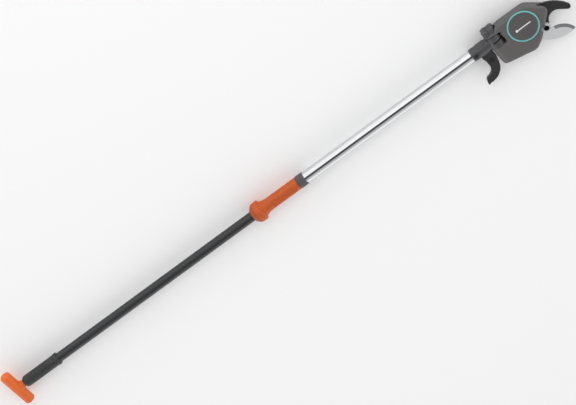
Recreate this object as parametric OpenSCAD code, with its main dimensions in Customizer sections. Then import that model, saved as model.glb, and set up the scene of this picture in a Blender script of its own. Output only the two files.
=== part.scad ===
// Telescopic tree lopper: a geared cutting head on a two-part pole, worked by a
// pull handle at the foot of the pole or by a grip that slides along it.
// Lengths are in millimetres. +X runs up the pole to the head, +Z is up as it lies.

/* [Pole] */
// Outer diameter of the bright upper tube
upper_tube_d = 28.5; // [28:0.5:34]
// Wall of the upper tube
upper_wall = 1.2; // [1:0.1:1.2]
// Length of the upper tube
upper_tube_len = 505; // [460:1:700]
// Outer diameter of the dark lower tube
lower_tube_d = 23.5; // [20:0.5:23.5]
// Wall of the lower tube
lower_wall = 1.2; // [1:0.1:2]
// Width of the groove along the upper tube
groove_w = 5.4; // [3:0.2:6]
// Depth of the groove along the upper tube
groove_deep = 0.9; // [0.5:0.1:0.9]
// Angle of the groove from the top of the tube, towards +Y
groove_angle = 17; // [0:1:60]
// How far the lower tube pulls out of the upper one
telescope_travel = 360; // [200:5:370]

/* [Handles] */
// Length of the cross handle
t_bar_len = 95; // [75:1:120]
// Diameter of the cross handle
t_bar_d = 26.5; // [23:0.5:32]
// How far the cross handle is turned about the pole
t_turn = 6.5; // [-15:0.5:15]
// Gap between the cross handle and the end grip
t_neck_len = 8.5; // [5:0.5:15]
// Length of the end grip
end_grip_len = 106; // [90:1:150]
// Diameter of the end grip
end_grip_d = 28.5; // [27.5:0.5:40]
// Diameter of the rim at the top of the end grip
grip_rim_d = 30.5; // [29.5:0.5:42]
// Bare lower tube between the end grip and the sliding grip
bare_tube_len = 579; // [400:1:650]
// Length of the sliding grip
slide_grip_len = 129.5; // [108:0.5:160]
// Diameter of the sliding grip
slide_grip_d = 30.5; // [30:0.5:42]
// Diameter of the hand stop on the sliding grip
flare_d = 50; // [49:0.5:60]
// Length of the hand stop, with its blend into the grip
flare_len = 46; // [40:0.5:50]
// Travel of the pull handle and of the sliding grip
pull_travel = 300; // [200:5:380]
// Length of the clamp collar
collar_len = 20; // [16:0.5:30]
// Outer diameter of the clamp collar
collar_d = 31.5; // [31.5:0.5:40]

/* [Hinge] */
// From the end of the upper tube to the tilt axis
socket_neck = 32; // [31:0.5:45]
// Width of the hinge barrel between the ears
barrel_w = 29.2; // [26:0.2:30]
// Diameter of the hinge barrel
barrel_d = 37; // [34:0.5:37]
// Diameter of the lock knob over its lobes
knob_d = 36.5; // [32:0.5:39]
// Thickness of the lock knob
knob_w = 11.5; // [9:0.5:16]

/* [Head] */
// Half of the thickness of the head
head_half = 16; // [15:0.5:18]
// Radius of the rounded edges of the head
head_round = 7; // [3:0.5:8]
// Wall of the head's shells
shell_wall = 2.5; // [2:0.1:3]
// From the tilt axis to the centre of the round cover
ring_ahead = 69.5; // [67:0.5:76]
// Sideways place of the centre of the round cover
ring_side = -8; // [-12:0.5:-6]
// Radius of the coloured ring around the cover
ring_r = 37; // [34:0.5:37.5]
// Width of the coloured ring
ring_w = 3.8; // [3:0.1:5]
// Direction from the cover's centre to the blade's pivot
gear_line = -46.5; // [-52:0.5:-40]

/* [Cutting parts] */
// Module of all four gears
gear_module = 1.2; // [1.15:0.05:1.25]
// Teeth of each of the two pinions
pinion_teeth = 10; // [10:1:12]
// Teeth of the large idler wheel
wheel_teeth = 30; // [28:1:32]
// Teeth on the full circle that the blade's sector belongs to
sector_teeth = 40; // [38:1:42]
// How far the blade turns from open to closed
blade_travel = 60; // [50:1:62]
// Thickness of the blade
blade_t = 3.2; // [2.5:0.1:4]
// Thickness of the hook jaw
jaw_t = 5.6; // [4.5:0.1:6]
// Diameter of the blade's pivot bolt
pivot_d = 10; // [8:0.5:11]
// Diameter of the pull cord
cord_d = 2.4; // [1.8:0.1:2.6]

/* [Hidden] */

// Clearances
fit_gap = 0.05;     // between pieces that are fixed together
run_gap = 0.08;     // radial, of a shaft that turns in its bore
slide_gap = 0.1;    // radial, of a bush that slides on a tube
free_gap = 0.3;     // between pieces of different bodies that only pass by
eps = 0.01;
smooth = 96;

// Radii
upper_r = upper_tube_d / 2;
upper_bore = upper_r - upper_wall;
lower_r = lower_tube_d / 2;
lower_bore = lower_r - lower_wall;
bar_r = t_bar_d / 2;
bar_round = 3.5;
grip_r = slide_grip_d / 2;
flare_r = flare_d / 2;
cord_r = cord_d / 2;
rest_z = flare_r;

// Stations along the pole, from the middle of the cross handle
grip_x = bar_r + t_neck_len;
lower_x = grip_x + 5;
slide_x = grip_x + end_grip_len + bare_tube_len;
collar_x = slide_x + slide_grip_len + 0.6;
upper_x = collar_x + collar_len / 2 + 1;
upper_end = upper_x + upper_tube_len;
tilt_x = upper_end + socket_neck;
lower_end = upper_end - 60;
carriage_len = 40;
carriage_x = slide_x + slide_grip_len / 2 + 3;
slot_w = 6.4;
carriage_pin_r = 2.5;

// Collet inside the foot of the upper tube
collet_wall = upper_bore - lower_r - slide_gap - fit_gap;
collet_len = 34;
collet_head = 9;
notch_w = groove_w + 1.6;
groove_r = (pow(groove_w / 2, 2) + pow(groove_deep, 2)) / (2 * groove_deep);
groove_c = upper_r - groove_deep + groove_r;

// Socket and hinge
socket_wall = 1.2;
socket_bore = upper_r + slide_gap;
socket_r = socket_bore + socket_wall;
socket_grip = 29.5;
socket_x = upper_end - socket_grip;
socket_screw_x = socket_x + 9.5;
rib_end = tilt_x - 24;
neck_r = barrel_w / 2;
barrel_r = barrel_d / 2;
ear_gap = 0.8;
ear_y = barrel_w / 2 + ear_gap;
ear_r = head_half;
pocket_x = tilt_x + barrel_r + 3.6;
stud_r = 4;
stud_tip = 3.8;
slot_half = 3.3;
slit_half = cord_r + 0.5;
roller_room = 11.5;
roller_r = 4.5;
roller_pin_r = 1.5;
roller_z = roller_r + cord_r + 0.15;
knob_y = ear_y + 6.3;

// Branch hook, from the tilt axis
hook_half = 5.5;
hook_screw_at = [tilt_x - 32, -34];
hook_lug_r = 7.5;
hook_head_r = 4.4;
hook_recess_r = 5.6;
hook_inner_c = [tilt_x - 65.5, -42.7];
hook_inner_r = 22.3;
hook_outer_c = [tilt_x - 61, -39];
hook_outer_r = 40.5;

// Gear train: three axes on one straight line
pressure = 25;
addendum = 0.8;
dedendum = 1.0;
backlash = 0.16;
stage_1 = gear_module * (pinion_teeth + wheel_teeth) / 2;
stage_2 = gear_module * (pinion_teeth + sector_teeth) / 2;
line_dir = [cos(gear_line), sin(gear_line)];
drum_at = [tilt_x + ring_ahead, ring_side];
idler_at = drum_at + stage_1 * line_dir;
pivot_at = drum_at + (stage_1 + stage_2) * line_dir;
gear_ratio = (wheel_teeth / pinion_teeth) * (sector_teeth / pinion_teeth);
wind_r = pull_travel / (blade_travel * gear_ratio * PI / 180);

// Levels through the head
plate_lo = -3.1;
plate_t = 1.8;
plate_hi = plate_lo + plate_t;
wheel_lo = -1.0;
wheel_t = 4.1;
wheel_hi = wheel_lo + wheel_t;
jaw_lo = -1.0;
jaw_hi = jaw_lo + jaw_t;
blade_lo = jaw_hi + 0.3;
blade_hi = blade_lo + blade_t;
front_lo = blade_hi + 0.4;
shell_joint = 0.03;
inner_half = head_half - shell_wall;
drum_hi = plate_lo - 0.3;
drum_flange = 1.2;
turns = 3;
cord_stop = 17.5;
wind_pitch = cord_d + 0.05;
wind_w = turns * wind_pitch;
drum_lo = drum_hi - 2 * drum_flange - wind_w;
core_r = wind_r - cord_r - fit_gap;
drum_flange_r = wind_r + cord_r + 2.4;
boss_r = 30;
back_z = -rest_z;
axle_r = 3;
idler_axle_r = 2.5;
pivot_r = pivot_d / 2;
bush_wall = 1.5;
notch_r = 11.8;
window_r = 30.5;
cover_lo = head_half - 1.5;
cover_hi = head_half + 1.6;

// Housing screws: the first three hold the shells, the last two the jaw too
shell_screws = [drum_at + [-36, 28], drum_at + [-40.5, -37], drum_at + [-14, -57]];
jaw_screws = [pivot_at + [2.5, 52], pivot_at + [17, 37]];
screw_r = 1.9;
screw_head_r = 3.5;
screw_head_t = 2.4;
boss_wall = 1.8;

// Jaw and blade, from the pivot
jaw_tip_c = [65.5, 9.4];
jaw_tip_r = 6.3;
jaw_tip_dir = 27.5;
jaw_outer_r = 82.7;
jaw_outer_c = jaw_tip_c - (jaw_outer_r - jaw_tip_r) * [cos(jaw_tip_dir), sin(jaw_tip_dir)];
jaw_inner_c = [33, -0.3];
jaw_inner_r = 21.3;
blade_back_c = [34.6, 32.2];
blade_back_r = 76.3;
blade_edge_c = [7, -55];
blade_edge_r = 46;
bevel_w = 7;
bevel_from = 14;

// The middle of the whole tool, so that it stands over the origin
x_min = -bar_r;
x_max = pivot_at[0] + jaw_tip_c[0] + jaw_tip_r;
y_max = (t_bar_len / 2 - bar_round) * cos(t_turn) + (bar_r - bar_round) * sin(abs(t_turn)) + bar_round;
y_min = pivot_at[1] + blade_back_c[1] - blade_back_r;
mid = [(x_min + x_max) / 2, (y_min + y_max) / 2];

module place() { translate([-mid[0], -mid[1], rest_z]) children(); }

// A cylinder along +X, from x to x + len
module rod_x(x, len, r, fn = smooth) {
    translate([x, 0, 0]) rotate([0, 90, 0]) cylinder(h = len, r = r, $fn = fn);
}

// A cylinder along +Y at the tilt axis, from y to y + len
module rod_y(y, len, r, fn = smooth) {
    translate([tilt_x, y, 0]) rotate([-90, 0, 0]) cylinder(h = len, r = r, $fn = fn);
}

// A cylinder along +Z over the point at, from z to z + len
module rod_z(at, z, len, r, fn = 48) {
    translate([at[0], at[1], z]) cylinder(h = len, r = r, $fn = fn);
}

// A solid turned about the pole from an outline of [distance along X, radius]
module turned_x(outline) {
    rotate([0, 90, 0]) rotate_extrude($fn = smooth)
        polygon([for (p = outline) [p[1], p[0]]]);
}

// Points of an arc about c from angle a to angle b
function arc(c, r, a, b, n = 8) =
    [for (i = [0:n]) let (t = a + (b - a) * i / n) c + r * [cos(t), sin(t)]];

// ---- Involute gears ----

function roll(r, base) = r <= base ? 0 : let (t = sqrt(pow(r / base, 2) - 1)) t * 180 / PI - atan(t);

// Half of the angle that a tooth takes up at radius r
function tooth_half(r, teeth, pitch, base) =
    90 / teeth - backlash / 4 / pitch * 180 / PI + roll(pitch, base) - roll(r, base);

function gear_points(teeth, steps = 5) =
    let (pitch = gear_module * teeth / 2, base = pitch * cos(pressure),
         root = pitch - dedendum * gear_module, tip = pitch + addendum * gear_module,
         start = max(root, base))
    [for (i = [0:teeth - 1]) let (mid_a = i * 360 / teeth,
         low = [for (k = [0:steps]) let (r = start + (tip - start) * k / steps)
             [r, tooth_half(r, teeth, pitch, base)]])
        each concat(
            root < base - eps ? [root * [cos(mid_a - low[0][1]), sin(mid_a - low[0][1])]] : [],
            [for (k = [0:steps]) low[k][0] * [cos(mid_a - low[k][1]), sin(mid_a - low[k][1])]],
            [for (k = [steps:-1:0]) low[k][0] * [cos(mid_a + low[k][1]), sin(mid_a + low[k][1])]],
            root < base - eps ? [root * [cos(mid_a + low[0][1]), sin(mid_a + low[0][1])]] : [])];

// A gear's outline at a point, with a tooth pointing along angle a
module gear_2d(at, teeth, a) { translate(at) rotate(a) polygon(gear_points(teeth)); }

module pie(at, r, a, b) { polygon(concat([at], arc(at, r, a, b, 16))); }

// ---- Pole ----

// A bar along the groove: the outer cut, or the bead that it leaves inside
module groove_bar(x, len, extra) {
    rotate([-groove_angle, 0, 0]) translate([0, 0, groove_c]) rod_x(x, len, groove_r + extra);
}

module upper_tube() {
    color("#c9ccd0") place() difference() {
        rod_x(upper_x, upper_tube_len, upper_r);
        difference() {
            rod_x(upper_x - 1, upper_tube_len + 2, upper_bore);
            groove_bar(upper_x - 2, upper_tube_len + 4, upper_wall);
        }
        groove_bar(upper_x - 1, upper_tube_len + 2, 0);
        rod_z([socket_screw_x, 0], 0, upper_r + 1, 2 + fit_gap);
    }
}

// Room for the bead inside the upper tube, in a piece that fills the bore
module bead_notch(x, len) {
    rotate([-groove_angle, 0, 0]) translate([x, -notch_w / 2, lower_r + 0.02])
        cube([len, notch_w, upper_r]);
}

module tube_collet() {
    color("#2b2d30") place() difference() {
        union() {
            rod_x(upper_x - collet_head, collet_head - fit_gap, upper_r + 0.2);
            rod_x(upper_x - 1, collet_len + 1, upper_bore - fit_gap);
        }
        rod_x(upper_x - collet_head - 1, collet_len + collet_head + 2, lower_r + slide_gap);
        bead_notch(upper_x - fit_gap, collet_len + 1);
        for (a = [0:90:270]) rotate([a, 0, 0])
            translate([upper_x - collet_head - 1, -0.6, 0]) cube([collet_head - 2, 1.2, upper_r + 1]);
    }
}

module clamp_collar() {
    front = 2;
    color("#5b5a60") place() difference() {
        turned_x([[collar_x, 0], [collar_x, collar_d / 2 - 1.2], [collar_x + 1.2, collar_d / 2],
            [collar_x + collar_len - 2.5, collar_d / 2],
            [collar_x + collar_len - 0.8, collar_d / 2 - 0.5], [collar_x + collar_len, collar_d / 2 - 1],
            [collar_x + collar_len, 0]]);
        rod_x(collar_x - 1, collar_len + 2, lower_r + free_gap);
        rod_x(collar_x + front, collar_len, upper_r + 0.2 + free_gap);
        for (a = [0:15:345]) rotate([a, 0, 0]) translate([0, 0, collar_d / 2 + 0.5])
            rod_x(collar_x + 4, collar_len - 8, 0.9, 16);
    }
}

module lower_tube() {
    slot_from = carriage_x - pull_travel - carriage_pin_r - 2;
    slot_to = carriage_x + carriage_pin_r + 2;
    color("#3a3c40") place() difference() {
        rod_x(lower_x, lower_end - lower_x, lower_r);
        rod_x(lower_x - 1, lower_end - lower_x + 2, lower_bore);
        translate([slot_from, -slot_w / 2, -lower_r - 1])
            cube([slot_to - slot_from, slot_w, lower_wall + 4]);
    }
}

module guide_plug() {
    flange = 10;
    tail = 34;
    color("#2b2d30") place() difference() {
        union() {
            rod_x(lower_end - tail, tail + 1, lower_bore - fit_gap);
            rod_x(lower_end + fit_gap, flange, upper_bore - 0.25);
        }
        rod_x(lower_end - tail - 1, tail + flange + 3, 5);
        rotate([-groove_angle, 0, 0]) translate([lower_end, -notch_w / 2, lower_r - 0.2])
            cube([flange + 1, notch_w, upper_r]);
    }
}

// ---- Handles ----

module end_grip() {
    rim = 9.5;
    round_r = 9;
    top = grip_x + end_grip_len;
    r = end_grip_d / 2;
    color("#2c2d2f") place() difference() {
        turned_x(concat([[grip_x, 0]],
            [for (p = arc([grip_x + round_r, r - round_r], round_r, 180, 90, 6)) p],
            [[top - rim - 2, r], [top - rim - 1.2, r - 1], [top - rim - 0.4, r - 1],
             [top - rim, grip_rim_d / 2], [top - 2, grip_rim_d / 2], [top, grip_rim_d / 2 - 2], [top, 0]]));
        rod_x(lower_x - fit_gap, end_grip_len + 1, lower_r + fit_gap);
        rod_x(grip_x - 1, 6, 9);
        for (a = [20:20:340]) rotate([a, 0, 0]) translate([0, 0, r + 0.6])
            rod_x(grip_x + 18, end_grip_len - 46, 1.2, 16);
    }
}

module end_bush() {
    seat = 13;
    color("#1f2022") place() difference() {
        rod_x(lower_x + fit_gap, 26, lower_bore - fit_gap);
        rod_x(lower_x - 1, seat + 1, 7.5 + free_gap);
        rod_x(lower_x, 40, cord_r + free_gap);
    }
}

module t_handle() {
    half = t_bar_len / 2;
    root_r = 11.5;
    neck_r = 8.2;
    spigot_r = 7.5;
    fillet = 4.6;
    color("#dd6324") place() difference() {
        union() {
            rotate([90 + t_turn, 0, 0]) rotate_extrude($fn = smooth) polygon(concat([[0, -half]],
                arc([bar_r - bar_round, -half + bar_round], bar_round, -90, 0, 6),
                arc([bar_r - bar_round, half - bar_round], bar_round, 0, 90, 6), [[0, half]]));
            turned_x(concat([[0, 0], [0, root_r], [bar_r - 1.5, root_r]],
                arc([grip_x - 0.6, neck_r + fillet], fillet, 225, 270, 4),
                [[grip_x - 0.6, spigot_r], [lower_x + 10, spigot_r], [lower_x + 12, spigot_r - 1.5],
                    [lower_x + 12, 0]]));
        }
        rod_x(-7, 7 + lower_x + 20, cord_r + fit_gap);
        rod_x(-8, 12, 2.6 + fit_gap);
        rod_x(-bar_r - 1, bar_r - 4, 3.4);
    }
}

module cord_ferrule() {
    color("#a9a9a4") place() difference() {
        rod_x(-6.5, 10, 2.6);
        rod_x(-7, 11, cord_r + fit_gap);
    }
}

module pull_cord_lower() {
    color("#d8d6cc") place() rod_x(-6.5, carriage_x - 3 + 6.5, cord_r, 24);
}

module slide_grip() {
    lo = slide_x;
    hi = slide_x + slide_grip_len;
    cone = 15;
    drum_end = 25;
    blend_r = 40;
    blend_a = asin((flare_len - drum_end - 1.5) / blend_r);
    color("#cf5a1d") place() difference() {
        turned_x(concat([[lo, 0], [lo, flare_r - 9]],
            arc([lo + cone, flare_r - cone], cone, 152, 90, 8),
            arc([lo + drum_end - 2, flare_r - 2], 2, 90, 20, 4),
            arc([lo + flare_len, grip_r + blend_r], blend_r, 270 - blend_a, 270, 10),
            [[hi - 1.2, grip_r], [hi, grip_r - 1.2], [hi, 0]]));
        rod_x(lo - 1, slide_grip_len + 2, lower_r + 1.7);
        translate([carriage_x, 0, -flare_r]) cylinder(h = flare_r, r = 2 + fit_gap + 0.5, $fn = 32);
        translate([carriage_x, 0, -grip_r - 1]) cylinder(h = 2.05, r = 4 + fit_gap, $fn = 32);
        for (i = [-1:1]) for (a = [-30:12:30]) rotate([a + i * 100, 0, 0])
            translate([0, 0, grip_r + 0.7])
                rod_x(lo + flare_len + 8, slide_grip_len - flare_len - 18, 1.4, 16);
    }
}

module glide_bushes() {
    bush = 12;
    color("#e8e6df") place() for (x = [slide_x + 2, slide_x + slide_grip_len - bush - 2]) difference() {
        rod_x(x, bush, lower_r + 1.7 - fit_gap);
        rod_x(x - 1, bush + 2, lower_r + slide_gap);
    }
}

module cord_carriage() {
    color("#2b2d30") place() difference() {
        rod_x(carriage_x - carriage_len / 2, carriage_len, lower_bore - free_gap);
        rod_x(carriage_x - carriage_len, carriage_len * 2, cord_r + fit_gap);
        translate([carriage_x, 0, -lower_r])
            cylinder(h = lower_r - cord_r - 2, r = carriage_pin_r + fit_gap, $fn = 32);
    }
}

module carriage_screw() {
    color("#8b8d90") place() difference() {
        union() {
            translate([carriage_x, 0, -grip_r + 0.2])
                cylinder(h = grip_r - 4, r = carriage_pin_r - 0.1, $fn = 32);
            translate([carriage_x, 0, -grip_r + 0.1]) cylinder(h = 0.9, r = 4, $fn = 32);
        }
        translate([carriage_x, 0, -grip_r]) cylinder(h = 0.7, r = 2, $fn = 6);
    }
}

module pull_cord_upper() {
    color("#d8d6cc") place() rod_x(carriage_x + 3, tilt_x + 9 - carriage_x - 3, cord_r, 24);
}

// ---- Hinge at the top of the pole ----

module socket_ribs(grow) {
    for (a = [50, 130, 230, 310]) rotate([a, 0, 0]) translate([0, 0, socket_r - 1.4])
        rod_x(socket_screw_x + 9 - grow, rib_end - socket_screw_x - 9 + 2 * grow, 2.6 + grow, 24);
}

module head_socket() {
    lug = hook_screw_at;
    pad_r = 7;
    color("#4a4b50") place() difference() {
        union() {
            turned_x([[socket_x, 0], [socket_x, socket_r - 0.6], [socket_x + 0.6, socket_r], [rib_end, socket_r],
                [rib_end + 4, neck_r], [tilt_x, neck_r], [tilt_x, 0]]);
            rod_y(-barrel_w / 2, barrel_w, barrel_r);
            rod_z([socket_screw_x, 0], 8, socket_r - 6.5, pad_r);
            socket_ribs(0);
            translate([lug[0] - hook_lug_r, lug[1], -hook_half]) cube([hook_lug_r * 2, -lug[1], hook_half]);
            rod_z(lug, -hook_half, hook_half, hook_lug_r);
        }
        rod_x(socket_x - 1, socket_grip + 1 + fit_gap, socket_bore);
        rod_x(upper_end - 1, tilt_x - upper_end + 2, cord_r + 1.6);
        translate([tilt_x - 6, -slit_half, -barrel_r - 1]) cube([barrel_r + 8, slit_half * 2, barrel_d + 2]);
        rod_y(-slot_half, slot_half * 2, roller_room);
        rod_y(-barrel_w, barrel_w * 2, stud_r + run_gap);
        for (s = [-1, 1]) translate([0, 0, s * roller_z]) rod_y(-7, 14, roller_pin_r + fit_gap, 32);
        rod_z([socket_screw_x, 0], 0, socket_r + 5, 2 + fit_gap);
        rod_z([socket_screw_x, 0], socket_r, 5, 4.8);
        rod_z(lug, -hook_half - 1, hook_half + 2, screw_r + fit_gap);
        for (s = [-1, 1]) for (a = [0:30:330]) translate([tilt_x, 0, 0]) rotate([0, a, 0])
            translate([barrel_r, s * (barrel_w / 2 - 2.5), 0]) rotate([90, 0, 0])
                cylinder(h = 1.2, r = 1, center = true, $fn = 16);
    }
}

module socket_screw() {
    color("#17181a") place() difference() {
        union() {
            rod_z([socket_screw_x, 0], upper_bore - 2, socket_r - upper_bore + 2.5, 2);
            rod_z([socket_screw_x, 0], socket_r + fit_gap, 1.5, 4.4);
        }
        rod_z([socket_screw_x, 0], socket_r + 0.8, 5, 2.2, 6);
    }
}

// The hook that hangs the tool on a branch and pulls cuttings down
module hook_outline() {
    side_x = tilt_x - 18.6;
    offset(r = 1.6, $fn = 32) offset(delta = -1.6) polygon(concat(
        [[tilt_x - 46.5, -socket_r + 2], [tilt_x - 45.8, -22], [tilt_x - 43.6, -30]],
        arc(hook_inner_c, hook_inner_r, 12, -88, 10),
        [[tilt_x - 68.6, -68.6], [tilt_x - 71.3, -76.6], [tilt_x - 70.1, -82]],
        arc(hook_outer_c, hook_outer_r, -96, -14, 14),
        [[side_x, -34], [side_x, -socket_r + 2]]));
}

module branch_hook() {
    lug = hook_screw_at;
    color("#1b1c1e") place() difference() {
        translate([0, 0, -hook_half]) linear_extrude(hook_half * 2) hook_outline();
        rod_x(socket_x, tilt_x - socket_x, socket_r + fit_gap);
        translate([lug[0] - hook_lug_r - 0.1, lug[1], -hook_half - 1])
            cube([hook_lug_r * 2 + 0.2, -lug[1], hook_half + 1 + fit_gap]);
        rod_z(lug, -hook_half - 1, hook_half + 1 + fit_gap, hook_lug_r + 0.1);
        rod_z(lug, -1, hook_half + 2, screw_r + fit_gap);
        rod_z(lug, hook_half - 2.6, 4, hook_recess_r);
        socket_ribs(fit_gap * 2);
    }
}

module hook_screw() {
    color("#8b8d90") place() difference() {
        union() {
            rod_z(hook_screw_at, -hook_half + 0.3, hook_half * 2 - 2.6, screw_r);
            rod_z(hook_screw_at, hook_half - 2.6 + fit_gap, 2, hook_head_r);
        }
        rod_z(hook_screw_at, hook_half - 1.4, 3, 2.1, 6);
    }
}

module cord_rollers() {
    color("#e8e6df") place() for (s = [-1, 1]) translate([0, 0, s * roller_z]) difference() {
        rod_y(-slot_half + 0.3, slot_half * 2 - 0.6, roller_r);
        rod_y(-slot_half, slot_half * 2, roller_pin_r + run_gap);
    }
}

module roller_pins() {
    color("#a9a9a4") place() for (s = [-1, 1]) translate([0, 0, s * roller_z])
        rod_y(-6.8, 13.6, roller_pin_r, 32);
}

module friction_washers() {
    color("#8b8d90") place() for (s = [-1, 1]) difference() {
        rod_y(s > 0 ? barrel_w / 2 + fit_gap : -barrel_w / 2 - fit_gap - 0.6, 0.6, 14);
        rod_y(-barrel_w, barrel_w * 2, stud_r + 0.4);
    }
}

// ---- Head housing ----

module head_outline() {
    hull() {
        translate([tilt_x - ear_r + 14, -48.5]) circle(r = 14, $fn = 48);
        translate([tilt_x - ear_r + 3, knob_y - 3.6]) circle(r = 3, $fn = 24);
        translate([tilt_x + 29, 21.5]) circle(r = 8, $fn = 32);
        translate(drum_at + [20.5, 17]) circle(r = 20, $fn = 64);
        translate(drum_at + [50, 0]) circle(r = 14, $fn = 48);
        translate(pivot_at + [-27, -8.5]) circle(r = 8.5, $fn = 48);
        translate(drum_at + [-10.5, -45]) circle(r = 22, $fn = 64);
    }
}

// The whole head as one rounded block, with its round end about the tilt axis
module head_block() {
    intersection() {
        hull() for (a = [0:18:90])
            linear_extrude(2 * (head_half - head_round + head_round * sin(a)), center = true)
                offset(delta = -head_round * (1 - cos(a))) head_outline();
        union() {
            rod_y(-120, 240, ear_r);
            translate([tilt_x, -120, -head_half - 1]) cube([200, 240, head_half * 2 + 2]);
        }
    }
}

// The room inside both shells, cut in by grow from the outline and up to z = half
module head_room(grow, half) {
    translate([0, 0, -half]) linear_extrude(half * 2) intersection() {
        offset(delta = -shell_wall - grow) head_outline();
        translate([pocket_x + shell_wall, -200]) square([300, 400]);
    }
}

// Everything that is cut from both shells
module head_cuts() {
    translate([tilt_x - 40, -ear_y, -40]) cube([pocket_x - tilt_x + 40, ear_y * 2, 80]);
    rod_y(knob_y - 0.4, 60, knob_d / 2 + 1.2);
    translate([tilt_x - 40, knob_y - 0.4, -40]) cube([40, 60, 80]);
    rod_y(0, 60, stud_r + run_gap);
    rod_y(-46, 46, stud_r + fit_gap);
    head_room(0, head_half - head_round * 0.75);
    head_room(head_round / 2, inner_half);
    translate([pocket_x - 1, -slot_half - 0.5, -10]) cube([shell_wall + 2, slot_half * 2 + 1, 20]);
    rod_z(pivot_at, -40, 80, notch_r, smooth);
    translate([pivot_at[0], pivot_at[1], jaw_lo - 0.4]) linear_extrude(front_lo - jaw_lo + 0.4)
        polygon([[13.5, 74], [60, 74], [60, -70], [-29, -70], [-29, -5], [-19, -5], [-4, 8], [-4, 20],
            [9, 24], [13.5, 40]]);
}

module screw_bosses(points, z, len) {
    for (p = points) rod_z(p, z, len, screw_r + boss_wall);
}

module front_shell() {
    rim_r = ring_r + 1.8;
    color("#65656a") place() difference() {
        union() {
            difference() {
                union() {
                    intersection() {
                        head_block();
                        translate([tilt_x - 100, -150, shell_joint]) cube([400, 300, 60]);
                    }
                    translate([drum_at[0], drum_at[1], 0]) rotate_extrude($fn = smooth)
                        polygon([[0, 5], [ring_r - 5, 5], [rim_r, 11], [rim_r, head_half - 1],
                            [rim_r - 0.9, head_half], [0, head_half]]);
                }
                head_cuts();
                rod_z(drum_at, 0, 60, window_r, smooth);
                rod_z(drum_at, cover_lo, 60, ring_r + fit_gap * 2, smooth);
            }
            screw_bosses(shell_screws, plate_hi + fit_gap, inner_half - plate_hi);
            screw_bosses(jaw_screws, jaw_hi + fit_gap, inner_half - jaw_hi);
        }
        for (p = concat(shell_screws, jaw_screws)) rod_z(p, -40, 40 + 10.5, screw_r + fit_gap, 32);
    }
}

module rear_shell() {
    color("#58585d") place() difference() {
        union() {
            difference() {
                union() {
                    intersection() {
                        head_block();
                        translate([tilt_x - 100, -150, -60 - fit_gap]) cube([400, 300, 60]);
                    }
                    translate([drum_at[0], drum_at[1], 0]) rotate_extrude($fn = smooth)
                        polygon([[0, back_z], [boss_r - 2, back_z], [boss_r, back_z + 2],
                            [boss_r, -head_half + 1], [0, -head_half + 1]]);
                }
                head_cuts();
                rod_z(drum_at, back_z + shell_wall, 30, boss_r - shell_wall, smooth);
            }
            rod_z(drum_at, back_z + 1, drum_lo - 0.3 - back_z - 1, 5.5);
            screw_bosses(concat(shell_screws, jaw_screws), -inner_half - 1, inner_half + 1 + plate_lo - fit_gap);
        }
        rod_z(drum_at, back_z + 1.5, 40, axle_r + fit_gap);
        for (p = concat(shell_screws, jaw_screws)) {
            rod_z(p, -40, 60, screw_r + fit_gap, 32);
            rod_z(p, -40, 40 - head_half + screw_head_t + 0.4, screw_head_r + fit_gap, 32);
        }
    }
}

module gear_cover() {
    r = ring_r - ring_w;
    color("#5d5d62") place() difference() {
        union() {
            translate([drum_at[0], drum_at[1], 0]) rotate_extrude($fn = smooth)
                polygon([[0, cover_lo + fit_gap], [r, cover_lo + fit_gap], [r, cover_hi - 0.9],
                    [r - 0.8, cover_hi - 0.3], [r - 3, cover_hi], [0, cover_hi]]);
            difference() {
                rod_z(drum_at, front_lo + 2, cover_lo - front_lo - 1, window_r - fit_gap, smooth);
                rod_z(drum_at, front_lo, 30, window_r - 2.2, smooth);
            }
            rod_z(drum_at, wheel_hi + 0.4, cover_lo - wheel_hi, axle_r + 2);
            rod_z(idler_at, front_lo, cover_lo - front_lo + 1, idler_axle_r + 2.1);
        }
        rod_z(drum_at, 0, cover_lo - 0.5, axle_r + fit_gap);
        rod_z(idler_at, 0, cover_lo - 0.5, idler_axle_r + fit_gap, 32);
        bar_shape(cover_hi - 0.6, 1, fit_gap);
    }
}

// The plain mark on the cover: a bar with a dot at its end
module bar_shape(z, h, grow) {
    bar_half = 1.3;
    translate([drum_at[0], drum_at[1], z]) linear_extrude(h) {
        hull() for (x = [-17.5, 18.2]) translate([x, 0]) circle(r = bar_half + grow, $fn = 32);
        translate([-17.5, 0]) circle(r = 3.1 + grow, $fn = 48);
    }
}

module index_bar() { color("#d9dadc") place() bar_shape(cover_hi - 0.6 + fit_gap, 0.75, 0); }

module cover_ring() {
    color("#4fa7a6") place() translate([drum_at[0], drum_at[1], 0]) rotate_extrude($fn = smooth)
        polygon([[ring_r - ring_w + fit_gap, cover_lo + fit_gap], [ring_r, cover_lo + fit_gap],
            [ring_r, cover_hi - 1.2], [ring_r - 0.8, cover_hi - 0.2], [ring_r - ring_w / 2, cover_hi + 0.1],
            [ring_r - ring_w + 0.9, cover_hi - 0.2], [ring_r - ring_w + fit_gap, cover_hi - 1]]);
}

module bearing_plate() {
    color("#9a9c9f") place() difference() {
        translate([0, 0, plate_lo]) linear_extrude(plate_t) difference() {
            intersection() {
                offset(delta = -shell_wall - 0.4) head_outline();
                translate([pocket_x + shell_wall + 14, -200]) square([300, 400]);
            }
            translate(pivot_at) circle(r = notch_r + 1.5, $fn = 64);
            translate([pivot_at[0] - 29, pivot_at[1] - 70]) square([120, 61]);
            translate([pivot_at[0] + 2, pivot_at[1] - 10]) square([60, 30]);
            translate([pocket_x, -3]) square([drum_at[0] - cord_stop + 4 - pocket_x, drum_at[1] + wind_r + 6]);
        }
        rod_z(drum_at, plate_lo - 1, 5, 4.5 + 0.35);
        rod_z(idler_at, plate_lo - 1, 5, idler_axle_r + fit_gap, 32);
        for (p = concat(shell_screws, jaw_screws)) rod_z(p, plate_lo - 1, 5, screw_r + fit_gap, 32);
    }
}

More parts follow.
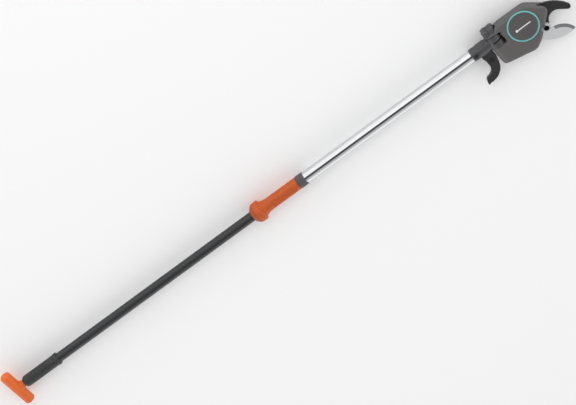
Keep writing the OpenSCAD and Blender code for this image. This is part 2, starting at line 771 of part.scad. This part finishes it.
module drum_axle() {
    color("#a9a9a4") place() rod_z(drum_at, back_z + 1.5, cover_lo - 0.7 - back_z - 1.5, axle_r);
}

module idler_axle() {
    color("#a9a9a4") place() rod_z(idler_at, plate_lo, cover_lo - 0.7 - plate_lo, idler_axle_r, 32);
}

module tilt_pin() { color("#a9a9a4") place() rod_y(-45, 45 - stud_tip, stud_r); }

// Flat spiral spring that winds the cord back
module drum_spring() {
    coils = 5;
    strip = 0.5;
    r0 = 8.5;
    r1 = boss_r - shell_wall - 1.2;
    n = 30;
    color("#7d7f82") place() translate([drum_at[0], drum_at[1], back_z + shell_wall + 0.5])
        linear_extrude(drum_lo - 0.6 - back_z - shell_wall - 0.5) polygon(concat(
            [for (i = [0:coils * n]) let (r = r0 + (r1 - r0) * i / coils / n)
                r * [cos(i * 360 / n), sin(i * 360 / n)]],
            [for (i = [coils * n:-1:0]) let (r = r0 + strip + (r1 - r0) * i / coils / n)
                r * [cos(i * 360 / n), sin(i * 360 / n)]]));
}

// The cord from the hinge rollers to where it meets the drum
module pull_cord_head() {
    cord_from = tilt_x + roller_z + roller_r + free_gap;
    knee = [pocket_x + 1, 0, 0];
    to = [drum_at[0] - cord_stop, drum_at[1] + wind_r, drum_hi - drum_flange - cord_r - 0.1];
    run = to - knee;
    color("#d8d6cc") place() {
        rod_x(cord_from, knee[0] - cord_from, cord_r, 24);
        translate(knee) sphere(r = cord_r, $fn = 24);
        translate(knee) rotate([0, 0, atan2(run[1], run[0])])
            rotate([0, 90 - atan2(run[2], norm([run[0], run[1]])), 0])
                cylinder(h = norm(run), r = cord_r, $fn = 24);
    }
}

module housing_screws() {
    color("#8b8d90") place() for (p = concat(shell_screws, jaw_screws)) difference() {
        union() {
            rod_z(p, -head_half + screw_head_t, head_half - screw_head_t + 10, screw_r, 32);
            rod_z(p, -head_half + 0.3, screw_head_t, screw_head_r, 32);
        }
        rod_z(p, -head_half - 1, 2.6, 1.8, 6);
    }
}

// ---- Cutting parts ----

module jaw_outline() {
    offset(r = 1.2, $fn = 32) offset(delta = -1.2) difference() {
        union() {
            circle(r = notch_r - 1.2, $fn = 64);
            polygon(concat(arc(jaw_outer_c, jaw_outer_r, 72, jaw_tip_dir, 20),
                arc(jaw_tip_c, jaw_tip_r, jaw_tip_dir, -119, 10),
                arc(jaw_inner_c, jaw_inner_r, 54, 155, 20),
                [[9, -4], [-4, 5], [-1, 30], [-3, 57], [5, 57], [12, 53.6], [13.9, 53.6], [13.9, 56.8],
                    [17.4, 54.4]]));
        }
        translate(idler_at - pivot_at) circle(r = gear_module * (wheel_teeth / 2 + addendum) + 0.9, $fn = 96);
    }
}

module hook_jaw() {
    color("#202123") place() difference() {
        translate([pivot_at[0], pivot_at[1], jaw_lo]) linear_extrude(jaw_t) jaw_outline();
        rod_z(pivot_at, jaw_lo - 1, jaw_t + 2, pivot_r + fit_gap, smooth);
        for (p = jaw_screws) rod_z(p, jaw_lo - 1, jaw_t + 2, screw_r + fit_gap, 32);
    }
}

module blade_outline() {
    back = gear_line + 180;
    tooth = 360 / sector_teeth;
    intersection() {
        translate(blade_back_c) circle(r = blade_back_r, $fn = 180);
        translate(blade_edge_c) circle(r = blade_edge_r, $fn = 180);
    }
    circle(r = notch_r - 0.6, $fn = 96);
    intersection() {
        gear_2d([0, 0], sector_teeth, back + tooth / 2);
        pie([0, 0], 60, back - blade_travel - tooth * 1.2, back + tooth * 1.2);
    }
    polygon([[-11, 2], [-20, -6], [-24, -17], [-10, -22], [0, -10]]);
}

module cutting_blade() {
    color("#d4d6d8") place() difference() {
        translate([pivot_at[0], pivot_at[1], blade_lo]) linear_extrude(blade_t) blade_outline();
        rod_z(pivot_at, blade_lo - 1, blade_t + 2, pivot_r + bush_wall + fit_gap, smooth);
        translate([pivot_at[0] + blade_edge_c[0], pivot_at[1] + blade_edge_c[1], 0]) difference() {
            rotate_extrude($fn = 180) polygon([[blade_edge_r + 1, blade_lo + 0.5],
                [blade_edge_r + 1, blade_hi + 1], [blade_edge_r - bevel_w, blade_hi + 1],
                [blade_edge_r - bevel_w, blade_hi], [blade_edge_r, blade_lo + 0.5]]);
            translate([-100, -100, 0]) cube([100 + bevel_from - blade_edge_c[0], 200, 30]);
        }
    }
}

module pivot_bush() {
    color("#b08d57") place() difference() {
        rod_z(pivot_at, blade_lo, blade_t, pivot_r + bush_wall, smooth);
        rod_z(pivot_at, blade_lo - 1, blade_t + 2, pivot_r + run_gap, smooth);
    }
}

module pivot_bolt() {
    head_r = 8.3;
    dish_r = 6.3;
    seat = blade_hi + 0.15;
    color("#8b8d90") place() difference() {
        union() {
            rod_z(pivot_at, jaw_lo - 6, blade_hi + 0.2 - jaw_lo + 6, pivot_r, smooth);
            translate([pivot_at[0], pivot_at[1], seat]) rotate_extrude($fn = smooth)
                polygon([[0, 0], [head_r, 0], [head_r, 3], [head_r - 0.8, 3.9], [dish_r + 0.3, 3.9],
                    [dish_r, 3.6], [dish_r, 1.9], [0, 1.9]]);
        }
        rod_z(pivot_at, blade_hi + 0.5, 5, 4.2, 6);
    }
}

module pivot_nut() {
    color("#8b8d90") place() difference() {
        rod_z(pivot_at, jaw_lo - 5.5, 5.5 - fit_gap, 9, 6);
        rod_z(pivot_at, jaw_lo - 7, 9, pivot_r + fit_gap, smooth);
    }
}

module cord_drum() {
    color("#e8e6df") place() difference() {
        translate([drum_at[0], drum_at[1], 0]) rotate_extrude($fn = smooth) polygon([[axle_r + run_gap, drum_lo],
            [drum_flange_r, drum_lo], [drum_flange_r, drum_lo + drum_flange], [core_r, drum_lo + drum_flange],
            [core_r, drum_hi - drum_flange], [drum_flange_r, drum_hi - drum_flange], [drum_flange_r, drum_hi],
            [axle_r + run_gap, drum_hi]]);
        rod_z(drum_at, drum_hi - 3, 5, 4.5 + fit_gap);
        for (a = [0:60:300]) rod_z(drum_at + 14 * [cos(a), sin(a)], drum_lo - 1, 30, 4.5, 32);
    }
}

module drive_pinion() {
    color("#a9a9a4") place() difference() {
        union() {
            translate([0, 0, wheel_lo]) linear_extrude(wheel_t) gear_2d(drum_at, pinion_teeth, gear_line);
            rod_z(drum_at, drum_hi - 3 + fit_gap, wheel_lo - drum_hi + 3, 4.5);
        }
        rod_z(drum_at, drum_hi - 5, 20, axle_r + run_gap);
    }
}

module cord_winding() {
    color("#d8d6cc") place() translate([drum_at[0], drum_at[1], 0]) for (i = [0:turns - 1])
        translate([0, 0, drum_lo + drum_flange + wind_pitch * (i + 0.5)])
            rotate_extrude($fn = smooth) translate([wind_r, 0]) circle(r = cord_r, $fn = 24);
}

module idler_gear() {
    color("#b9bbbd") place() difference() {
        union() {
            translate([0, 0, wheel_lo]) linear_extrude(wheel_t)
                gear_2d(idler_at, wheel_teeth, gear_line + 180 + 180 / wheel_teeth);
            translate([0, 0, wheel_lo + wheel_t / 2]) linear_extrude(blade_hi + 0.2 - wheel_lo - wheel_t / 2)
                gear_2d(idler_at, pinion_teeth, gear_line);
        }
        rod_z(idler_at, wheel_lo - 1, 20, idler_axle_r + run_gap, 32);
    }
}

// ---- Lock knob ----

module tilt_knob() {
    lobes = 4;
    lobe_r = 7.75;
    color("#4d4e53") place() difference() {
        translate([tilt_x, knob_y, 0]) rotate([-90, 0, 0]) linear_extrude(knob_w)
            offset(r = -1.6, $fn = 48) offset(r = 1.6) {
                circle(r = knob_d / 2 - 5.5, $fn = 64);
                for (i = [0:lobes - 1]) rotate((i + 0.5) * 360 / lobes)
                    translate([knob_d / 2 - lobe_r, 0]) circle(r = lobe_r, $fn = 48);
            }
        rod_y(knob_y - 1, knob_w - 1, stud_r + fit_gap);
        rod_y(knob_y + knob_w - 1.5, 5, 9 + fit_gap);
    }
}

module tilt_screw() { color("#a9a9a4") place() rod_y(stud_tip, knob_y + knob_w - 2.2 - stud_tip, stud_r); }

module knob_cap() { color("#3a3b3f") place() rod_y(knob_y + knob_w - 1.5 + fit_gap, 1.8, 9); }

upper_tube();
head_socket();
socket_screw();
branch_hook();
hook_screw();
tube_collet();
clamp_collar();
cord_rollers();
roller_pins();
friction_washers();
lower_tube();
end_grip();
end_bush();
guide_plug();
t_handle();
cord_ferrule();
pull_cord_lower();
slide_grip();
glide_bushes();
cord_carriage();
carriage_screw();
pull_cord_upper();
front_shell();
rear_shell();
gear_cover();
cover_ring();
index_bar();
bearing_plate();
drum_axle();
idler_axle();
tilt_pin();
drum_spring();
pull_cord_head();
housing_screws();
hook_jaw();
pivot_bolt();
pivot_nut();
tilt_knob();
tilt_screw();
knob_cap();
cord_drum();
drive_pinion();
cord_winding();
idler_gear();
cutting_blade();
pivot_bush();
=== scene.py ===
import math

import bmesh
import bpy
from mathutils import Matrix, Vector


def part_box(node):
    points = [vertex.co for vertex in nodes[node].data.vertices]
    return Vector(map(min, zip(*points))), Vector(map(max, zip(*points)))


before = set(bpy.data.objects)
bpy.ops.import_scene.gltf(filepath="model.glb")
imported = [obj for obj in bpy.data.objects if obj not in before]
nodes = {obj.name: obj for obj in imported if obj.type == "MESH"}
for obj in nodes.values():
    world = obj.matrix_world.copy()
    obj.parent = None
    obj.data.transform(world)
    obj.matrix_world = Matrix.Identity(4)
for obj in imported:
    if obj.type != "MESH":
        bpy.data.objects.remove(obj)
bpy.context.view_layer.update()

# ---- Upper tube ----
# The bright tube is drawn aluminium with a satin anodised skin, so its streaks run along the
# pole. A groove runs the length of it, and the shade in its bed is painted on in near black.

# A finish is a principled shader with mottled colour, uneven roughness and a fine relief.
# Its colour drifts between low and high, and stretch draws the pattern out along the pole.


def finish(name, low, high, rough, grain, relief, stretch=1.0, metallic=0.0):
    mottle_scale = 14.0
    relief_height = 0.0004
    material = bpy.data.materials.new(name)
    material.use_nodes = True
    tree = material.node_tree
    shader = tree.nodes["Principled BSDF"]
    shader.inputs["Metallic"].default_value = metallic
    place = tree.nodes.new("ShaderNodeTexCoord")
    along = tree.nodes.new("ShaderNodeMapping")
    along.inputs["Scale"].default_value = (1.0 / stretch, 1.0, 1.0)
    tree.links.new(place.outputs["Object"], along.inputs["Vector"])

    mottle = tree.nodes.new("ShaderNodeTexNoise")
    mottle.inputs["Scale"].default_value = mottle_scale
    mottle.inputs["Detail"].default_value = 6.0
    tree.links.new(along.outputs["Vector"], mottle.inputs["Vector"])
    tint = tree.nodes.new("ShaderNodeMix")
    tint.data_type = "RGBA"
    tint.inputs["A"].default_value = (*low, 1)
    tint.inputs["B"].default_value = (*high, 1)
    tree.links.new(mottle.outputs["Fac"], tint.inputs["Factor"])
    tree.links.new(tint.outputs["Result"], shader.inputs["Base Color"])

    fine = tree.nodes.new("ShaderNodeTexNoise")
    fine.inputs["Scale"].default_value = grain
    fine.inputs["Detail"].default_value = 4.0
    tree.links.new(along.outputs["Vector"], fine.inputs["Vector"])
    spread = tree.nodes.new("ShaderNodeMapRange")
    spread.inputs["To Min"].default_value = rough[0]
    spread.inputs["To Max"].default_value = rough[1]
    tree.links.new(fine.outputs["Fac"], spread.inputs["Value"])
    tree.links.new(spread.outputs["Result"], shader.inputs["Roughness"])
    bump = tree.nodes.new("ShaderNodeBump")
    bump.inputs["Strength"].default_value = relief
    bump.inputs["Distance"].default_value = relief_height
    tree.links.new(fine.outputs["Fac"], bump.inputs["Height"])
    tree.links.new(bump.outputs["Normal"], shader.inputs["Normal"])
    return material


# A mask runs from 0 to 1 as a measure of the place passes from start to end. The measure is
# the distance from centre in the directions kept, or with toward how nearly it points there.


def mask(material, centre, keep, start, end, toward=None):
    tree = material.node_tree
    place = tree.nodes.new("ShaderNodeTexCoord")
    offset = tree.nodes.new("ShaderNodeVectorMath")
    offset.operation = "SUBTRACT"
    offset.inputs[1].default_value = centre
    tree.links.new(place.outputs["Object"], offset.inputs[0])
    flat = tree.nodes.new("ShaderNodeVectorMath")
    flat.operation = "MULTIPLY"
    flat.inputs[1].default_value = keep
    tree.links.new(offset.outputs["Vector"], flat.inputs[0])
    found = tree.nodes.new("ShaderNodeVectorMath")
    if toward:
        unit = tree.nodes.new("ShaderNodeVectorMath")
        unit.operation = "NORMALIZE"
        tree.links.new(flat.outputs["Vector"], unit.inputs[0])
        found.operation = "DOT_PRODUCT"
        found.inputs[1].default_value = toward
        tree.links.new(unit.outputs["Vector"], found.inputs[0])
    else:
        found.operation = "LENGTH"
        tree.links.new(flat.outputs["Vector"], found.inputs[0])
    step = tree.nodes.new("ShaderNodeMapRange")
    step.inputs["From Min"].default_value = start
    step.inputs["From Max"].default_value = end
    tree.links.new(found.outputs["Value"], step.inputs["Value"])
    return step.outputs["Result"]


def both(material, first, second):
    product = material.node_tree.nodes.new("ShaderNodeMath")
    product.operation = "MULTIPLY"
    material.node_tree.links.new(first, product.inputs[0])
    material.node_tree.links.new(second, product.inputs[1])
    return product.outputs["Value"]


def recolour(material, where, colour):
    tree = material.node_tree
    socket = tree.nodes["Principled BSDF"].inputs["Base Color"]
    layer = tree.nodes.new("ShaderNodeMix")
    layer.data_type = "RGBA"
    tree.links.new(socket.links[0].from_socket, layer.inputs["A"])
    layer.inputs["B"].default_value = (*colour, 1)
    tree.links.new(where, layer.inputs["Factor"])
    tree.links.new(layer.outputs["Result"], socket)


def dress(material, *names):
    for name in names:
        slots = nodes[name].data.materials
        slots.clear()
        slots.append(material)


def middle(name):
    low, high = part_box(name)
    return (low + high) / 2


aluminium = finish(
    "satin_aluminium",
    low=(0.54, 0.55, 0.56),
    high=(0.70, 0.71, 0.72),
    rough=(0.26, 0.38),
    grain=900,
    relief=0.08,
    stretch=60,
    metallic=0.8,
)
groove_turn = math.radians(17)
groove_toward = (0, math.sin(groove_turn), math.cos(groove_turn))
groove_edge = math.radians(12)
groove_bed = math.radians(8)
painted_groove_shade = mask(
    aluminium,
    centre=middle("lower_tube"),
    keep=(0, 1, 1),
    start=math.cos(groove_edge),
    end=math.cos(groove_bed),
    toward=groove_toward,
)
# The groove's bed is painted near black: painted shade, not a colour of the aluminium.
recolour(aluminium, painted_groove_shade, (0.07, 0.07, 0.075))
dress(aluminium, "upper_tube")

# ---- Lower tube ----
# The thinner tube slides inside the bright one. It is aluminium under a fine, dark, satin
# powder coat.

powder_coat = finish(
    "dark_tube",
    low=(0.012, 0.013, 0.014),
    high=(0.020, 0.021, 0.023),
    rough=(0.30, 0.42),
    grain=2600,
    relief=0.12,
    stretch=4,
)
dress(powder_coat, "lower_tube")

# ---- End grip ----
# A soft black rubber sleeve is pushed onto the foot of the lower tube. It has a thicker rim,
# with a pale painted highlight line where the rim begins.

rubber = finish(
    "grip_rubber",
    low=(0.012, 0.013, 0.014),
    high=(0.024, 0.025, 0.026),
    rough=(0.42, 0.58),
    grain=3000,
    relief=0.30,
)
rim_len = 0.0098
highlight_fades_at = 0.0007
highlight_full_at = 0.0004
rim_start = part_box("end_grip")[1] - Vector((rim_len, 0, 0))
painted_rim_highlight = mask(rubber, centre=rim_start, keep=(1, 0, 0), start=highlight_fades_at, end=highlight_full_at)
# The pale line at the start of the rim is a painted highlight on the rim's edge.
recolour(rubber, painted_rim_highlight, (0.16, 0.165, 0.17))
dress(rubber, "end_grip")

# ---- Cross handle ----
# The pull handle is one orange moulding. The crimped end of the cord sits inside it, so
# pulling it away from the end grip works the blade.

handle_plastic = finish(
    "handle_orange",
    low=(0.62, 0.100, 0.002),
    high=(0.72, 0.130, 0.004),
    rough=(0.44, 0.56),
    grain=2400,
    relief=0.16,
)
dress(handle_plastic, "t_handle")

# ---- Sliding grip ----
# The orange grip slides along the dark tube and pulls the same cord. It is one moulding with
# a flared hand stop. The end face of that stop has rows of fine dimples with painted shade in their
# pits.

grip_plastic = finish(
    "grip_orange",
    low=(0.44, 0.066, 0.001),
    high=(0.52, 0.084, 0.002),
    rough=(0.46, 0.60),
    grain=2200,
    relief=0.25,
)
dimple_scale = 420.0
dimples = grip_plastic.node_tree.nodes.new("ShaderNodeTexVoronoi")
dimples.inputs["Scale"].default_value = dimple_scale
dimples.inputs["Randomness"].default_value = 0.25
dimple_place = grip_plastic.node_tree.nodes.new("ShaderNodeTexCoord")
grip_plastic.node_tree.links.new(dimple_place.outputs["Object"], dimples.inputs["Vector"])
dimple_edge = grip_plastic.node_tree.nodes.new("ShaderNodeMapRange")
dimple_edge.inputs["From Min"].default_value = 0.25
dimple_edge.inputs["From Max"].default_value = 0.45
dimple_edge.inputs["To Min"].default_value = 0.9
dimple_edge.inputs["To Max"].default_value = 0.35
grip_plastic.node_tree.links.new(dimples.outputs["Distance"], dimple_edge.inputs["Value"])
face_fades_at = 0.0135
face_full_at = 0.0115
stop_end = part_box("slide_grip")[0]
stop_face = mask(grip_plastic, centre=stop_end, keep=(1, 0, 0), start=face_fades_at, end=face_full_at)
dimple_pit_shade = both(grip_plastic, stop_face, dimple_edge.outputs["Result"])
# The dimple pits are darkened as painted shade.
recolour(grip_plastic, dimple_pit_shade, (0.20, 0.022, 0.001))
dress(grip_plastic, "slide_grip")

# ---- Collar, socket and knob ----
# These are glass-filled mouldings in three near greys, with the grain that spark erosion
# leaves in a mould. The collar clamps the tubes, and the knob locks the hinge of the head.

collar_plastic = finish(
    "collar_plastic",
    low=(0.060, 0.056, 0.060),
    high=(0.084, 0.078, 0.084),
    rough=(0.45, 0.60),
    grain=2600,
    relief=0.25,
)
dress(collar_plastic, "clamp_collar")
socket_plastic = finish(
    "socket_plastic",
    low=(0.040, 0.040, 0.043),
    high=(0.060, 0.060, 0.064),
    rough=(0.34, 0.48),
    grain=2600,
    relief=0.22,
)
dress(socket_plastic, "head_socket")
knob_plastic = finish(
    "knob_plastic",
    low=(0.044, 0.045, 0.049),
    high=(0.064, 0.065, 0.070),
    rough=(0.32, 0.46),
    grain=2600,
    relief=0.20,
)
dress(knob_plastic, "tilt_knob")
cap_plastic = finish(
    "cap_plastic",
    low=(0.020, 0.020, 0.022),
    high=(0.030, 0.030, 0.033),
    rough=(0.30, 0.42),
    grain=2600,
    relief=0.12,
)
dress(cap_plastic, "knob_cap")

# ---- Plastic pieces inside the pole and the head ----
# What fills or guides the tubes is black nylon. What the cord or a tube rubs on is natural
# acetal, which is slippery and off-white.

black_nylon = finish(
    "black_nylon",
    low=(0.016, 0.016, 0.017),
    high=(0.026, 0.026, 0.027),
    rough=(0.45, 0.60),
    grain=2400,
    relief=0.25,
)
dress(black_nylon, "tube_collet", "end_bush", "guide_plug", "cord_carriage")
white_acetal = finish(
    "white_acetal",
    low=(0.62, 0.61, 0.57),
    high=(0.72, 0.71, 0.67),
    rough=(0.30, 0.42),
    grain=1800,
    relief=0.08,
)
dress(white_acetal, "cord_rollers", "glide_bushes", "cord_drum")

# ---- Branch hook and hook jaw ----
# The hook is a black moulding held by a screw. The jaw is steel under a thin black non-stick
# coat, and it holds a branch against the blade.

hook_plastic = finish(
    "black_plastic",
    low=(0.010, 0.010, 0.011),
    high=(0.020, 0.020, 0.021),
    rough=(0.34, 0.48),
    grain=2600,
    relief=0.20,
)
dress(hook_plastic, "branch_hook")
jaw_coat = finish(
    "jaw_coated",
    low=(0.010, 0.010, 0.011),
    high=(0.019, 0.019, 0.020),
    rough=(0.32, 0.46),
    grain=2000,
    relief=0.15,
)
dress(jaw_coat, "hook_jaw")

# ---- Head housing ----
# Two grey shells are screwed together from the back over the gears. A round cover closes the
# front, with a teal ring round it and a plain pale mark in it.

shell_plastic = finish(
    "housing_plastic",
    low=(0.080, 0.074, 0.074),
    high=(0.106, 0.099, 0.099),
    rough=(0.44, 0.58),
    grain=2800,
    relief=0.28,
)
dress(shell_plastic, "front_shell", "rear_shell")
cover_plastic = finish(
    "cover_plastic",
    low=(0.062, 0.058, 0.058),
    high=(0.084, 0.079, 0.079),
    rough=(0.44, 0.58),
    grain=2800,
    relief=0.28,
)
dress(cover_plastic, "gear_cover")
ring_plastic = finish(
    "teal_plastic",
    low=(0.12, 0.40, 0.40),
    high=(0.16, 0.46, 0.46),
    rough=(0.24, 0.34),
    grain=1800,
    relief=0.06,
)
dress(ring_plastic, "cover_ring")
mark_plastic = finish(
    "pale_plastic",
    low=(0.66, 0.67, 0.68),
    high=(0.76, 0.77, 0.78),
    rough=(0.28, 0.38),
    grain=1800,
    relief=0.06,
)
dress(mark_plastic, "index_bar")

# ---- Blade ----
# The blade is ground from steel plate and turns about the pivot bolt. Its curved edge has a
# bevel from the heel to the tip, painted darker as shade on the angled facet.

blade_steel = finish(
    "blade_steel",
    low=(0.62, 0.63, 0.64),
    high=(0.80, 0.81, 0.82),
    rough=(0.30, 0.44),
    grain=1400,
    relief=0.10,
    stretch=8,
    metallic=0.7,
)
pivot = middle("pivot_bolt")
edge_offset = Vector((0.007, -0.055, 0))
bevel_starts_at = 0.0388
bevel_full_at = 0.0392
painted_bevel_shade = mask(
    blade_steel,
    centre=pivot + edge_offset,
    keep=(1, 1, 0),
    start=bevel_starts_at,
    end=bevel_full_at,
)
heel_offset = Vector((0.014, 0, 0))
past_heel = mask(
    blade_steel,
    centre=pivot + heel_offset,
    keep=(1, 0, 0),
    start=0.0,
    end=1.0,
    toward=(1, 0, 0),
)
# The bevel band is painted darker: painted shade for the facet that turns away from the light.
recolour(blade_steel, both(blade_steel, painted_bevel_shade, past_heel), (0.24, 0.245, 0.25))
dress(blade_steel, "cutting_blade")

# ---- Pivot bolt ----
# The bolt is turned and plated steel. Only the rim of its head looks bright, as the recess in
# the middle is painted near black as shade.

bolt_steel = finish(
    "pivot_steel",
    low=(0.46, 0.47, 0.48),
    high=(0.60, 0.61, 0.62),
    rough=(0.22, 0.34),
    grain=1600,
    relief=0.08,
    metallic=0.9,
)
recess_edge = 0.0066
recess_floor = 0.0062
painted_recess_shade = mask(bolt_steel, centre=pivot, keep=(1, 1, 0), start=recess_edge, end=recess_floor)
# The recess is painted near black: painted shade inside the bolt head.
recolour(bolt_steel, painted_recess_shade, (0.012, 0.012, 0.013))
dress(bolt_steel, "pivot_bolt")

# ---- Pins, screws and washers ----
# The pins and axles are turned from bright bar. The screws are plated, except the two on the
# socket and the hook, which are coloured near black as painted shade of their recesses.

pin_steel = finish(
    "pin_steel",
    low=(0.46, 0.47, 0.48),
    high=(0.58, 0.59, 0.60),
    rough=(0.22, 0.36),
    grain=1600,
    relief=0.08,
    metallic=0.9,
)
dress(pin_steel, "roller_pins", "friction_washers", "cord_ferrule", "drum_axle", "idler_axle")
dress(pin_steel, "tilt_pin", "tilt_screw")
screw_steel = finish(
    "screw_steel",
    low=(0.30, 0.31, 0.32),
    high=(0.42, 0.43, 0.44),
    rough=(0.28, 0.42),
    grain=1600,
    relief=0.10,
    metallic=0.9,
)
dress(screw_steel, "carriage_screw", "housing_screws", "pivot_nut")
black_screw = finish(
    "black_screw",
    low=(0.008, 0.008, 0.008),
    high=(0.016, 0.016, 0.016),
    rough=(0.30, 0.44),
    grain=1600,
    relief=0.10,
)
# The socket and hook screws sit in recesses; their near black colour is painted shade.
dress(black_screw, "socket_screw", "hook_screw")

# ---- Gears, plate, spring and bush ----
# The gears are steel and turn on a plate cut from steel sheet. The drum's spring is a spiral
# of dark spring steel, and the blade turns on a bronze bush.

gear_steel = finish(
    "gear_steel",
    low=(0.42, 0.43, 0.44),
    high=(0.54, 0.55, 0.56),
    rough=(0.32, 0.46),
    grain=2400,
    relief=0.18,
    metallic=0.85,
)
dress(gear_steel, "drive_pinion", "idler_gear")
plate_steel = finish(
    "plate_steel",
    low=(0.44, 0.45, 0.46),
    high=(0.58, 0.59, 0.60),
    rough=(0.26, 0.40),
    grain=1500,
    relief=0.08,
    stretch=6,
    metallic=0.85,
)
dress(plate_steel, "bearing_plate")
spring_steel = finish(
    "spring_steel",
    low=(0.16, 0.18, 0.22),
    high=(0.24, 0.27, 0.32),
    rough=(0.24, 0.36),
    grain=1500,
    relief=0.06,
    metallic=0.85,
)
dress(spring_steel, "drum_spring")
bush_bronze = finish(
    "bush_brass",
    low=(0.42, 0.28, 0.11),
    high=(0.54, 0.38, 0.17),
    rough=(0.34, 0.48),
    grain=2600,
    relief=0.18,
    metallic=0.8,
)
dress(bush_bronze, "pivot_bush")

# ---- Pull cord ----
# The cord is pale braided polyester. It runs from the cross handle through the pole and the
# hinge to the drum in the head, and its plait shows as fine slanting waves.

braided_cord = finish(
    "braided_cord",
    low=(0.56, 0.54, 0.48),
    high=(0.70, 0.68, 0.62),
    rough=(0.70, 0.85),
    grain=1200,
    relief=0.30,
)
plait_scale = 500.0
plait_height = 0.0004
cord_tree = braided_cord.node_tree
cord_place = cord_tree.nodes.new("ShaderNodeTexCoord")
plait = cord_tree.nodes.new("ShaderNodeTexWave")
plait.bands_direction = "DIAGONAL"
plait.inputs["Scale"].default_value = plait_scale
cord_tree.links.new(cord_place.outputs["Object"], plait.inputs["Vector"])
plait_bump = cord_tree.nodes.new("ShaderNodeBump")
plait_bump.inputs["Strength"].default_value = 0.6
plait_bump.inputs["Distance"].default_value = plait_height
cord_tree.links.new(plait.outputs["Fac"], plait_bump.inputs["Height"])
cord_shader = cord_tree.nodes["Principled BSDF"]
cord_tree.links.new(plait_bump.outputs["Normal"], cord_shader.inputs["Normal"])
dress(braided_cord, "pull_cord_lower", "pull_cord_upper", "pull_cord_head", "cord_winding")

# ---- Camera ----
# A long lens stands high on the side of the lock knob, rolled so that the pole runs from the
# lower left to the upper right.

camera_place = Vector((1.0977, 2.0801, 4.3409))
camera_aim = Vector((0.0124, -0.0035, 0.0250))
camera_roll = -0.736
camera_data = bpy.data.cameras.new("camera")
camera_data.sensor_width = 36.0
camera_data.lens = 135.0
camera = bpy.data.objects.new("camera", camera_data)
bpy.context.scene.collection.objects.link(camera)
ahead = (camera_aim - camera_place).normalized()
side = ahead.cross(Vector((0, 1, 0))).normalized()
up = side.cross(ahead)
facing = Matrix((side, up, -ahead)).transposed().to_4x4()
rolled = facing @ Matrix.Rotation(camera_roll, 4, "Z")
camera.matrix_world = Matrix.Translation(camera_place) @ rolled
bpy.context.scene.camera = camera

# ---- Floor ----
# The tool stands over a plain, pale, matt painted floor. It is wide enough to fill the view
# from every side.

floor_half = 30.0
floor_mesh = bpy.data.meshes.new("floor")
form = bmesh.new()
bmesh.ops.create_grid(form, x_segments=1, y_segments=1, size=floor_half)
form.to_mesh(floor_mesh)
form.free()
floor = bpy.data.objects.new("floor", floor_mesh)
bpy.context.scene.collection.objects.link(floor)
floor_paint = bpy.data.materials.new("floor_paint")
floor_paint.use_nodes = True
floor_shader = floor_paint.node_tree.nodes["Principled BSDF"]
floor_shader.inputs["Base Color"].default_value = (0.92, 0.92, 0.92, 1)
floor_shader.inputs["Roughness"].default_value = 0.9
floor_mesh.materials.append(floor_paint)

# ---- Studio light ----
# A white surround, bright near the floor and dimmer overhead, lights the edges of the tubes
# more than their tops. One wide soft lamp adds a gentle direction.

surround_low = 1.9
surround_high = 0.35
world = bpy.data.worlds.new("studio")
bpy.context.scene.world = world
bpy.context.scene.view_settings.view_transform = "Standard"
world.use_nodes = True
world_tree = world.node_tree
surround = world_tree.nodes["Background"]
surround.inputs["Color"].default_value = (1, 1, 1, 1)
surround_place = world_tree.nodes.new("ShaderNodeTexCoord")
height = world_tree.nodes.new("ShaderNodeSeparateXYZ")
world_tree.links.new(surround_place.outputs["Generated"], height.inputs["Vector"])
fade = world_tree.nodes.new("ShaderNodeMapRange")
fade.inputs["From Min"].default_value = 0.15
fade.inputs["From Max"].default_value = 0.95
fade.inputs["To Min"].default_value = surround_low
fade.inputs["To Max"].default_value = surround_high
world_tree.links.new(height.outputs["Z"], fade.inputs["Value"])
world_tree.links.new(fade.outputs["Result"], surround.inputs["Strength"])

lamp_place = Vector((0.4, 2.0, 2.6))
lamp_light = bpy.data.lights.new("key", "AREA")
lamp_light.shape = "RECTANGLE"
lamp_light.size = 2.6
lamp_light.size_y = 1.2
lamp_light.energy = 16
lamp = bpy.data.objects.new("key", lamp_light)
lamp.location = lamp_place
lamp.rotation_euler = (-lamp_place).to_track_quat("-Z", "Y").to_euler()
bpy.context.scene.collection.objects.link(lamp)
